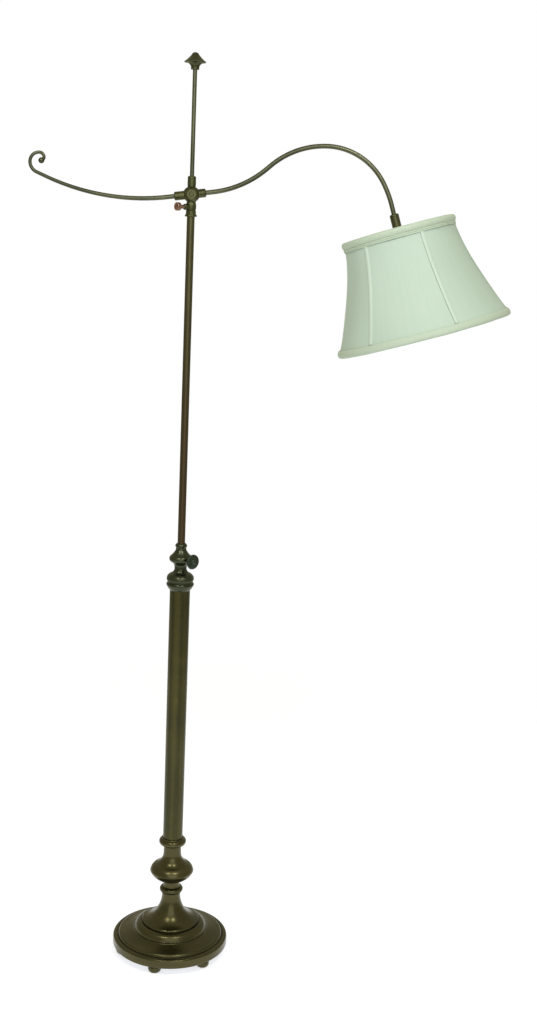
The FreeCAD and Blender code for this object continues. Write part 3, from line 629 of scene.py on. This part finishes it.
# %% [markdown]
# ## Ribbons over the ribs
#
# A ribbon lies over each rib and is sewn along both edges. It is thickest along the middle, where it
# rides on the wire, and its edges lie flat on the two panels. Sweeping a flat strip down the rib
# would cut through the cloth, which turns away on both sides. So each point of the ribbon is found
# from the cloth under it, plus a height that changes across the ribbon.

# %% The ribbon's place on the cloth
RIBBON_HALF_W = 4.5
RIBBON_FROM = 14.0
RIBBON_TO = 206.4
WANDER = 0.25          # how far a ribbon strays from its rib
WANDER_PITCH = 0.035   # radians for each millimetre down the shade
WANDER_SHIFT = 2.0     # radians from one rib to the next


def ribbon_point(rib, side, down, lift):
    """A point on a ribbon: side runs from -1 to 1 across it, lift is its height off the cloth."""
    wander = WANDER * sin(down * WANDER_PITCH + WANDER_SHIFT * rib)
    turn = FIRST_RIB + rib * 360 / RIB_COUNT
    off = (side * RIBBON_HALF_W + wander) / bell_radius(down) * 180 / pi
    return on_shade(turn + off, cloth_radius(turn + off, down) + lift, down)


low_end = ribbon_point(0, 0, RIBBON_TO, 0)
print("first ribbon ends", round(low_end.length, 4), "m from the middle of the top ring")

# %% The ribbon's height
UNDERSIDE = 0.12
EDGE_HEIGHT = 0.20
BODY_HEIGHT = 0.55
RIDGE_HEIGHT = 0.5
RIDGE_SHARE = 0.9


def ribbon_height(side):
    """How far the ribbon's face stands off the cloth: a flat body with a ridge over the wire."""
    body = 1 - abs(side) ** 10
    ridge = max(0.0, 1 - (side / RIDGE_SHARE) ** 2) ** 0.7
    return EDGE_HEIGHT + BODY_HEIGHT * body + RIDGE_HEIGHT * ridge


print("ribbon stands", round(ribbon_height(0), 2), "mm off the cloth along its middle")

# %% The ribbons
RIBBON_ACROSS = 12
RIBBON_ALONG = 90



def ribbon_section():
    """The ribbon's loop of (side, height): over its face and back along its underside."""
    face = [(-1 + 2 * step / RIBBON_ACROSS) for step in range(RIBBON_ACROSS + 1)]
    return ([(side, ribbon_height(side)) for side in face]
            + [(side, UNDERSIDE) for side in face[::-1]])


def ribbon_mesh(name):
    """All the ribbons in one mesh, each closed at both ends."""
    loop = ribbon_section()
    around = len(loop)
    points, faces, on_cloth = [], [], []
    for rib in range(RIB_COUNT):
        start = len(points)
        for row in range(RIBBON_ALONG + 1):
            down = RIBBON_FROM + (RIBBON_TO - RIBBON_FROM) * row / RIBBON_ALONG
            points += [ribbon_point(rib, side, down, lift) for side, lift in loop]
            on_cloth += [(side * RIBBON_HALF_W * MM, down * MM) for side, _ in loop]
        for row in range(RIBBON_ALONG):
            here, there = start + row * around, start + (row + 1) * around
            for step in range(around):
                after = (step + 1) % around
                faces.append((here + step, there + step, there + after, here + after))
        last = start + RIBBON_ALONG * around
        faces.append(tuple(start + step for step in range(around)))
        faces.append(tuple(last + step for step in reversed(range(around))))
    mesh = bpy.data.meshes.new(name)
    mesh.from_pydata(points, [], faces)
    uv = mesh.uv_layers.new(name="cloth")
    for corner in mesh.loops:
        uv.data[corner.index].uv = on_cloth[corner.vertex_index]
    return mesh


ribbons = hang_on_arm(ribbon_mesh("seam_ribbons"), "seam_ribbons", ribbon_cloth)
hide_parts("seam_trims")
print("ribbons", len(ribbons.data.polygons), "faces")

# %% [markdown]
# ## Trims at the top and the bottom
#
# Each trim is a bias strip folded over its ring. At the top it is a full roll with a narrow cord and
# a flat edge under it. At the bottom it is a softer roll whose edge lies on the cloth. The strip is
# eased round the ring, so it is finely and unevenly gathered. A sculpted roll would be hard to close
# evenly. Here a coarse section is rounded by cutting its corners, and only its outer side waves as
# it goes round.

# %% The trims' sections
# (radius, distance below the top ring), in millimetres
TOP_TRIM = ((107.9, 9.5), (107.9, -0.5), (109.8, -2.6), (113.4, -3.0), (117.0, -1.8),
            (119.0, 1.6), (119.2, 5.0), (118.2, 8.6), (116.6, 10.8), (115.6, 11.6), (116.3, 12.0),
            (117.5, 12.5), (117.6, 13.7), (116.6, 14.4), (116.1, 14.6), (116.5, 15.2),
            (116.8, 17.2), (115.9, 17.6), (115.2, 12.0), (114.5, 6.0), (114.25, 0.0),
            (114.2, -1.8), (108.7, -1.8), (108.4, 9.5))
BOTTOM_TRIM = ((176.2, 207.0), (177.2, 206.6), (179.2, 208.4), (181.0, 211.6), (181.9, 215.4),
               (181.8, 218.6), (180.6, 221.2), (178.4, 222.4), (175.8, 222.2), (174.2, 220.6),
               (173.6, 218.2), (171.8, 214.2), (169.7, 210.2), (170.2, 209.9), (174.0, 217.4),
               (174.6, 219.2), (180.1, 219.3), (180.2, 217.6), (178.2, 212.2))
CORNER_CUTS = 2


def softened(corners):
    """A closed loop with its corners cut back again and again until it is round."""
    loop = list(corners)
    for _ in range(CORNER_CUTS):
        cut = []
        for (r0, d0), (r1, d1) in zip(loop, loop[1:] + loop[:1]):
            cut.append((0.75 * r0 + 0.25 * r1, 0.75 * d0 + 0.25 * d1))
            cut.append((0.25 * r0 + 0.75 * r1, 0.25 * d0 + 0.75 * d1))
        loop = cut
    return loop


print("points in the trims' sections", len(softened(TOP_TRIM)), "and", len(softened(BOTTOM_TRIM)))

# %% The gathers
# Each fold has a share of the depth, a pace to the gathers' own, and a drift of its spacing in
# radians that comes so many times in a turn. Each sway has millimetres, waves in a turn and a phase.
FOLDS = ((0.55, 1.0, 1.3, 9), (0.3, 0.62, 0.0, 0), (0.25, 1.7, 2.0, 5))
SWAYS = ((0.22, 5, 0.6), (0.13, 13, 0.0))
FULL_DEPTH_AT = 2.0
SWAY_OUTWARDS = 0.4
INNER_SWAY = 0.5
MIDDLE_HALF_H = 4.0
MIDDLE_SWAY = 0.6


def gathered(corners, depth, pitch):
    """A trim's section at any turn, with gathers of a depth and a spacing in millimetres."""
    loop = softened(corners)
    mean_r = sum(r for r, d in loop) / len(loop)
    mean_d = sum(d for r, d in loop) / len(loop)
    waves = round(2 * pi * mean_r / pitch)

    def section(turn):
        angle = radians(turn)
        fold = sum(share * sin(round(pace * waves) * angle + drift * sin(times * angle))
                   for share, pace, drift, times in FOLDS)
        sway = sum(height * sin(count * angle + phase) for height, count, phase in SWAYS)
        waved = []
        for r, d in loop:
            out = 0.0
            along = sway * INNER_SWAY
            if r > mean_r:
                out = depth * fold * min((r - mean_r) / FULL_DEPTH_AT, 1) + SWAY_OUTWARDS * sway
                along = sway
            if abs(d - mean_d) <= MIDDLE_HALF_H:
                along *= MIDDLE_SWAY
            waved.append((r + out, d + along))
        return waved
    return section


# %% The trims
TRIM_COLUMNS = 900
TOP_GATHERS = (0.22, 2.8)      # depth and spacing
BOTTOM_GATHERS = (0.13, 3.1)

top_trim = sewn_ring("top_trim_roll", gathered(TOP_TRIM, *TOP_GATHERS), TRIM_COLUMNS, cream_trim)
bottom_trim = sewn_ring("bottom_trim_roll", gathered(BOTTOM_TRIM, *BOTTOM_GATHERS), TRIM_COLUMNS,
                        cream_trim)
for piece, node in ((top_trim, "top_trim"), (bottom_trim, "bottom_trim")):
    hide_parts(node)
    print(piece.name, 2 * len(piece.data.polygons), "triangles")

# %% [markdown]
# ## One stitch
#
# A running stitch shows as a short length of thread that comes out of the cloth and dives back in.
# It is repeated hundreds of times, so it has only a few dozen faces: a six-sided tube that thins and
# sinks at both ends.

# %% The stitch
STITCH = 2.4 * MM
THREAD_R = 0.16 * MM
THINNEST = 0.12
SUNK = 0.6


def stitch_mesh():
    """One stitch along the X axis."""
    sides, rings = 6, 7
    corners, quads = [], []
    for ring in range(rings):
        t = ring / (rings - 1)
        thick = THREAD_R * max(sin(pi * t), THINNEST) ** 0.5
        for side in range(sides):
            angle = 2 * pi * side / sides
            corners.append(((t - 0.5) * STITCH, thick * cos(angle),
                            thick * sin(angle) + THREAD_R * (sin(pi * t) - SUNK)))
    for ring in range(rings - 1):
        for side in range(sides):
            after = (side + 1) % sides
            quads.append((ring * sides + side, ring * sides + after,
                          (ring + 1) * sides + after, (ring + 1) * sides + side))
    quads.append(tuple(reversed(range(sides))))
    quads.append(tuple((rings - 1) * sides + side for side in range(sides)))
    mesh = bpy.data.meshes.new("stitch")
    mesh.from_pydata(corners, [], quads)
    mesh.shade_smooth()
    return mesh


# %% [markdown]
# ## Rows of stitches
#
# Both edges of each ribbon are sewn. Stitches could be placed in a loop, but each has to lie along
# its line, which bends with the rib. Geometry Nodes do that by themselves: they space points along a
# curve, put a copy of the stitch on each with the curve's own rotation, and realize the copies. The
# result is turned into a plain mesh, as the export drops instances.


# %% The stitching tree
def stitching_tree(name):
    """A tree that lays copies of a stitch along lines, with its step and its thread as inputs."""
    tree = bpy.data.node_groups.new(name, "GeometryNodeTree")
    for label, kind in (("Lines", "NodeSocketGeometry"), ("Step", "NodeSocketFloat"),
                        ("Stitch", "NodeSocketObject"), ("Thread", "NodeSocketMaterial")):
        tree.interface.new_socket(label, in_out="INPUT", socket_type=kind)
    tree.interface.new_socket("Stitches", in_out="OUTPUT", socket_type="NodeSocketGeometry")
    entry = add_node(tree, "NodeGroupInput", out="Lines")
    points = add_node(tree, "GeometryNodeCurveToPoints", {"mode": "LENGTH"},
                      {"Curve": entry, "Length": entry.beside("Step")}, out="Points")
    one = add_node(tree, "GeometryNodeObjectInfo", sockets={"Object": entry.beside("Stitch")},
                   out="Geometry")
    copies = add_node(tree, "GeometryNodeInstanceOnPoints", sockets={
        "Points": points, "Instance": one, "Rotation": points.beside("Rotation")})
    real = add_node(tree, "GeometryNodeRealizeInstances", sockets={"Geometry": copies})
    coated = add_node(tree, "GeometryNodeSetMaterial", sockets={
        "Geometry": real, "Material": entry.beside("Thread")})
    add_node(tree, "NodeGroupOutput", sockets={"Stitches": coated})
    return tree


# %% Lines to sew along
def line_curve(name, lines):
    """A curve object with one straight-sided spline for each list of points."""
    curve = bpy.data.curves.new(name, "CURVE")
    curve.dimensions = "3D"
    for line in lines:
        spline = curve.splines.new("POLY")
        spline.points.add(len(line) - 1)
        for point, place in zip(spline.points, line):
            point.co = (*place, 1)
    carrier = bpy.data.objects.new(name, curve)
    bpy.context.scene.collection.objects.link(carrier)
    return carrier


# %% From lines to stitches
STITCH_STEP = 4.2 * MM


def sewn_mesh(name, lines, thread):
    """The stitches along all the lines, as one plain mesh."""
    stitch = bpy.data.objects.new("one_stitch", stitch_mesh())
    carrier = line_curve(name + "_lines", lines)
    modifier = carrier.modifiers.new("stitches", "NODES")
    modifier.node_group = stitching_tree(name)
    inputs = {item.name: item.identifier for item in modifier.node_group.interface.items_tree
              if item.in_out == "INPUT"}
    modifier[inputs["Step"]] = STITCH_STEP
    modifier[inputs["Stitch"]] = stitch
    modifier[inputs["Thread"]] = thread
    bpy.context.view_layer.update()
    seen = carrier.evaluated_get(bpy.context.evaluated_depsgraph_get())
    mesh = bpy.data.meshes.new_from_object(seen)
    mesh.name = name
    bpy.data.objects.remove(carrier)
    bpy.data.objects.remove(stitch)
    return mesh


# %% Sewing the ribbons down
SEAM_SIDE = 0.8
SEAM_INSET = 4.0
SEAM_LENGTH = RIBBON_TO - RIBBON_FROM - 2
SEAM_LIFT = 0.10
SEAM_POINTS = 60


def seam_line(rib, side):
    """The points of one seam, just above the ribbon's face. The last ones stop at its end."""
    line = []
    for row in range(SEAM_POINTS + 1):
        down = RIBBON_FROM + SEAM_INSET + SEAM_LENGTH * row / SEAM_POINTS
        line.append(ribbon_point(rib, side, min(down, RIBBON_TO), ribbon_height(side) + SEAM_LIFT))
    return line


seams = [seam_line(rib, side) for rib in range(RIB_COUNT) for side in (-SEAM_SIDE, SEAM_SIDE)]
stitches = hang_on_arm(sewn_mesh("ribbon_stitches", seams, sewing_thread.material),
                       "ribbon_stitches", sewing_thread.material)
print("stitches", len(stitches.data.polygons), "faces")

# %% [markdown]
# ## The bulb's screw cap
#
# The cap has a rolled thread, pressed from thin metal, so its crests are round. It shows when one
# looks up into the shade. A screw modifier would cut its ends off square. Here the cap is a ring
# like the trims: its radius is a wave along the axis, and the wave climbs one pitch in each turn.

# %% The cap
CAP_PITCH = 3.6
CAP_R = 13.15
THREAD_DEPTH = 1.0
CAP_FROM, CAP_TO = 50.7, 73.5
THREAD_FROM = CAP_FROM + 4.4
THREAD_LENGTH = CAP_TO - CAP_FROM - 6.4
THREAD_STEPS = 70
THREAD_FADE = 8
ON_AXIS = 0.05
# (radius, distance below the cap's contact) and (radius, distance above the cap's rim)
BUTTON_AND_CONE = ((ON_AXIS, 0.0), (3.6, 0.1), (4.6, 1.0), (6.4, 2.2), (11.4, 3.6))
NECK = ((12.9, 1.2), (12.5, 0.0), (ON_AXIS, 0.0))


def cap_section(turn):
    """The cap's section: a contact button, a cone, the thread and a plain neck."""
    outline = [(radius, CAP_FROM + below) for radius, below in BUTTON_AND_CONE]
    for step in range(THREAD_STEPS + 1):
        down = THREAD_FROM + THREAD_LENGTH * step / THREAD_STEPS
        wave = 0.5 - 0.5 * cos(2 * pi * (down / CAP_PITCH - turn / 360))
        fade = min(step, THREAD_STEPS - step, THREAD_FADE) / THREAD_FADE
        outline.append((CAP_R - THREAD_DEPTH * wave * fade, down))
    return outline + [(radius, CAP_TO - above) for radius, above in NECK]


CAP_COLUMNS = 96
cap = sewn_ring("bulb_screw_cap", cap_section, CAP_COLUMNS, lamp_cap_metal)
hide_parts("bulb_cap")
print("cap", len(cap.data.polygons), "faces")

# %% [markdown]
# ## Finishes of the solids
#
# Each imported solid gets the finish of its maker's bench: turned pieces have lines round them, tubes
# have lines along them, and the castings of the head are mottled all over. The solids that the
# cloth stands for are finished too, so that none is left bare.

# %% Dressing the solids
FINISHES = {
    turned_bronze: ("bun_feet", "base_shell", "base_trumpet", "neck_bead", "lower_knop",
                    "column_ring"),
    collar_bronze: ("column_cap", "height_collar"),
    column_bronze: ("column_tube",),
    arm_bronze: ("top_rod", "scroll_arm", "gooseneck"),
    pole_bronze: ("pole_tube",),
    head_bronze: ("pole_ferrule", "swivel_head", "top_sleeve", "finial", "ball", "coupling",
                  "tilt_screw"),
    knob_bronze: ("height_knob",),
    screw_copper: ("swivel_screw",),
    zinc: ("foot_screws", "cover_plate", "tie_rod", "tie_washer", "tie_nut", "height_screw",
           "holder_nipple", "fitter_ring", "fitter_spokes", "top_ring", "bottom_ring",
           "shade_ribs"),
    socket_brass: ("socket_cap", "socket_shell"),
    lamp_cap_metal: ("bulb_cap",),
    cast_iron: ("base_weight",),
    nylon: ("column_plug", "guide_bush", "pole_guide"),
    black_phenolic: ("socket_core", "shade_ring_nut", "switch_key"),
    soft_rubber: ("cord_bushing",),
    frosted_glass: ("bulb_glass",),
    mint_satin: ("shade_cover",),
    lining_cloth: ("shade_lining",),
    cream_trim: ("seam_trims", "top_trim", "bottom_trim"),
}
for material, nodes in FINISHES.items():
    for node in nodes:
        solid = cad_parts[node].data
        solid.materials.clear()
        solid.materials.append(material)
dressed = sum(len(nodes) for nodes in FINISHES.values())
print("finishes given to", dressed, "of", len(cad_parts), "solids")

# %% [markdown]
# ## What the cloth was cut from
#
# The cover and the lining are each sewn from panels. Their flat size is that of one strip, as long
# as the bottom edge and as wide as the slant of the shade. The panels are narrower at the top, so
# the area that they hold is smaller, and it is measured on the mesh.


# %% Flat sizes
SLANT_STEPS = 40


def face_area(piece):
    """The area of one face of a thin cloth, from the mesh of both faces."""
    return sum(face.area for face in piece.data.polygons) / 2


def slant():
    """The length of the cloth along a rib, in metres."""
    downs = [BELL_END * step / SLANT_STEPS for step in range(SLANT_STEPS + 1)]
    stations = [(bell_radius(down), down) for down in downs]
    return sum(hypot(a[0] - b[0], a[1] - b[1]) for a, b in zip(stations, stations[1:])) * MM


for piece, inwards, others in ((cover, 0.0, [ribbons, stitches, top_trim, bottom_trim]),
                               (lining, LINING_IN, [])):
    width = 2 * pi * (BELL_END_R - inwards) * MM
    slant()
    print(piece.name, "flat", round(width, 3), "x", round(slant(), 3), "m, area",
          round(face_area(piece), 4), "m2")

# %% [markdown]
# ## The floor
#
# The lamp stands on a pale floor that keeps its soft shadow and fades out into the white behind it.
# A large plane would show a horizon. A round one whose Alpha falls off with the distance from the
# pole has no edge to see. It glows a little, so that it is as white as the backdrop.

# %% Floor
scene = bpy.context.scene
FLOOR_R = 2.6
FLOOR_SIDES = 96
FADE_FROM, FADE_TO = 1.0, 2.4

rim = [(FLOOR_R * cos(2 * pi * n / FLOOR_SIDES) + POLE.x,
        FLOOR_R * sin(2 * pi * n / FLOOR_SIDES) + POLE.y, 0) for n in range(FLOOR_SIDES)]
floor_mesh = bpy.data.meshes.new("floor")
floor_mesh.from_pydata(rim, [], [tuple(range(FLOOR_SIDES))])
floor_piece = bpy.data.objects.new("floor", floor_mesh)
scene.collection.objects.link(floor_piece)

paper = Finish("pale_floor", Roughness=0.9, Specular_IOR_Level=0.1, Emission_Strength=0.60)
at = paper.place()
away_x, away_y = paper.part(at, "X") - POLE.x, paper.part(at, "Y") - POLE.y
away = (away_x * away_x + away_y * away_y).root()
grain = paper.noise(3.0, detail=2.0)
paper.wear(Base_Color=paper.blend(grain, rgb(228, 232, 250), rgb(226, 230, 248)),
           Emission_Color=paper.blend(grain, rgb(255, 255, 255), rgb(254, 254, 254)),
           Alpha=1.0 - paper.steps(away, FADE_FROM, FADE_TO))
floor_mesh.materials.append(paper.material)
print("floor fades out from", FADE_FROM, "to", FADE_TO, "m")

# %% [markdown]
# ## The studio round the lamp
#
# The camera sees a plain white backdrop. The lamp itself should not be lit by so much white, or its
# dark metal would turn grey. So the world is white only for rays that come from the camera, and for
# all others it is a dimmer, warmer glow.

# %% Backdrop
GLOW_COLOUR = (1.0, 0.96, 0.72, 1)
GLOW = 0.47

world = bpy.data.worlds.new("studio")
world.use_nodes = True
scene.world = world
studio = world.node_tree
studio.nodes.clear()
from_camera = add_node(studio, "ShaderNodeLightPath", out="Is Camera Ray")
glow = add_node(studio, "ShaderNodeBackground", sockets={"Color": GLOW_COLOUR, "Strength": GLOW})
backdrop = add_node(studio, "ShaderNodeBackground",
                    sockets={"Color": (1, 1, 1, 1), "Strength": 1.0})
chosen = add_node(studio, "ShaderNodeMixShader", sockets={0: from_camera, 1: glow, 2: backdrop})
add_node(studio, "ShaderNodeOutputWorld", sockets={"Surface": chosen})
print("glow", GLOW, "of colour", GLOW_COLOUR[:3])

# %% [markdown]
# ## Lights
#
# Turned metal shows its shape by its highlights, and here they come in pairs. So two small square
# lights stand high in front, left and right of the camera. A broad panel behind the camera lights
# the shade evenly, and the sides of the shade fall off softly into the warmer glow.


# %% Lights
def soft_light(name, place, target, width, height, power, tint):
    """A rectangular light at a place, facing a target."""
    lamp = bpy.data.lights.new(name, "AREA")
    lamp.shape = "RECTANGLE"
    lamp.size, lamp.size_y = width, height
    lamp.energy = power
    lamp.color = tint
    holder = bpy.data.objects.new(name, lamp)
    scene.collection.objects.link(holder)
    holder.location = place
    holder.rotation_euler = (Vector(target) - Vector(place)).to_track_quat("-Z", "Y").to_euler()


for side in (-1, 1):
    soft_light("high_light", place=(POLE.x + 0.70 * side, POLE.y - 1.45, 2.65),
               target=(POLE.x + 0.1, POLE.y, 1.0), width=0.38, height=0.38, power=12.0,
               tint=(1.0, 0.98, 0.94))
soft_light("front_panel", place=(POLE.x + 0.3, POLE.y - 4.0, 2.0),
           target=(POLE.x, POLE.y, 1.1), width=3.6, height=3.0, power=39.0,
           tint=(0.91, 0.95, 1.06))
print("lights", [light.name for light in bpy.data.lights])

# %% [markdown]
# ## The camera
#
# The camera stands where the photographer stood: at eye height, nearly three metres away, looking
# down a little and held slightly askew. Its three angles are worked into its axes one after the
# other. The lens comes from the focal length in pixels, so the picture's frame is the photo's.

# %% Camera
CAMERA_BACK, CAMERA_HEIGHT = 2.864, 1.581
PAN, PITCH, ROLL = radians(3.647), radians(11.307), radians(2.384)
FOCAL_PX, PICTURE_H = 1380.0, 1024

ahead = Vector((sin(PAN) * cos(PITCH), cos(PAN) * cos(PITCH), -sin(PITCH)))
right = Vector((cos(PAN), -sin(PAN), 0))
down = ahead.cross(right)
rolled_right = cos(ROLL) * right - sin(ROLL) * down
rolled_down = sin(ROLL) * right + cos(ROLL) * down
axes = Matrix((rolled_right, -rolled_down, -ahead)).transposed().to_4x4()

eye = bpy.data.cameras.new("camera")
eye.sensor_fit = "VERTICAL"
eye.sensor_height = 36.0
eye.lens = FOCAL_PX / PICTURE_H * eye.sensor_height
camera = bpy.data.objects.new("camera", eye)
scene.collection.objects.link(camera)
camera.matrix_world = Matrix.Translation((POLE.x, POLE.y - CAMERA_BACK, CAMERA_HEIGHT)) @ axes
scene.camera = camera
scene.view_settings.view_transform = "Standard"
print("lens", round(eye.lens, 2), "mm")
